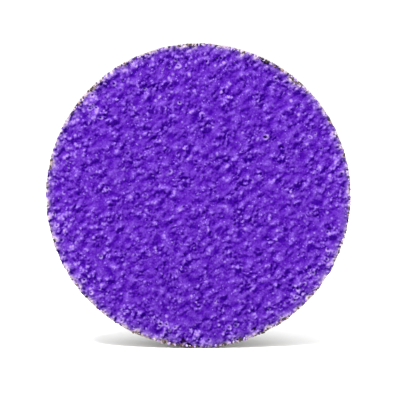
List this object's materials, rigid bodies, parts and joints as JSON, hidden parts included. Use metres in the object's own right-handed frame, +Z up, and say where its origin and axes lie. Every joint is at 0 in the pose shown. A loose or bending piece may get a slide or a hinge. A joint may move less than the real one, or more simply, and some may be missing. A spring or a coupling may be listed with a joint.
{
  "type": "angle grinder carving disc",
  "caption": "Round coarse-grit carving disc on a cloth backing, with a moulded screw button that twists into a rubber backing pad whose steel hub threads on to a grinder's spindle.",
  "frame": {"origin": "on the disc's axis, at the mouth of the spindle thread in the hub's rear face", "axes": "+Y along the axis, from the abrasive face towards the grinder; +Z up, with the disc standing on its rim; the abrasive face looks along -Y"},
  "size_m": [0.0508, 0.0259, 0.0508],
  "materials": {
    "purple_coat": "thick satin resin over coarse grains",
    "ceramic_grain": "dark fused ceramic grain",
    "amber_resin": "cured amber resin",
    "cream_cloth": "tight polyester weave",
    "film_glue": "clear amber glue film",
    "olive_cloth": "resin-filled twill weave",
    "button_glue": "hot-melt glue",
    "nylon": "moulded natural nylon",
    "black_rubber": "moulded, dusty matt",
    "zinc_plate": "zinc-plated pressed steel",
    "rivet_steel": "bright formed steel",
    "socket_brass": "turned brass",
    "hub_steel": "turned and milled steel"
  },
  "bodies": {
    "pad": {"rubber_pad": "black_rubber", "pad_plate": "zinc_plate", "rivets": "rivet_steel", "thread_socket": "socket_brass", "spindle_hub": "hub_steel"},
    "disc": {"size_coat": "purple_coat", "abrasive_grains": "ceramic_grain", "make_coat": "amber_resin", "front_cloth": "cream_cloth", "laminating_film": "film_glue", "rear_cloth": "olive_cloth", "button_glue": "button_glue", "screw_button": "nylon"}
  },
  "joints": [
    {"name": "disc_twist", "type": "hinge", "parent": "pad", "child": "disc", "pos_m": [0, -0.0235, 0], "axis": [0, -1, 0], "range_deg": [0, 180]}
  ]
}
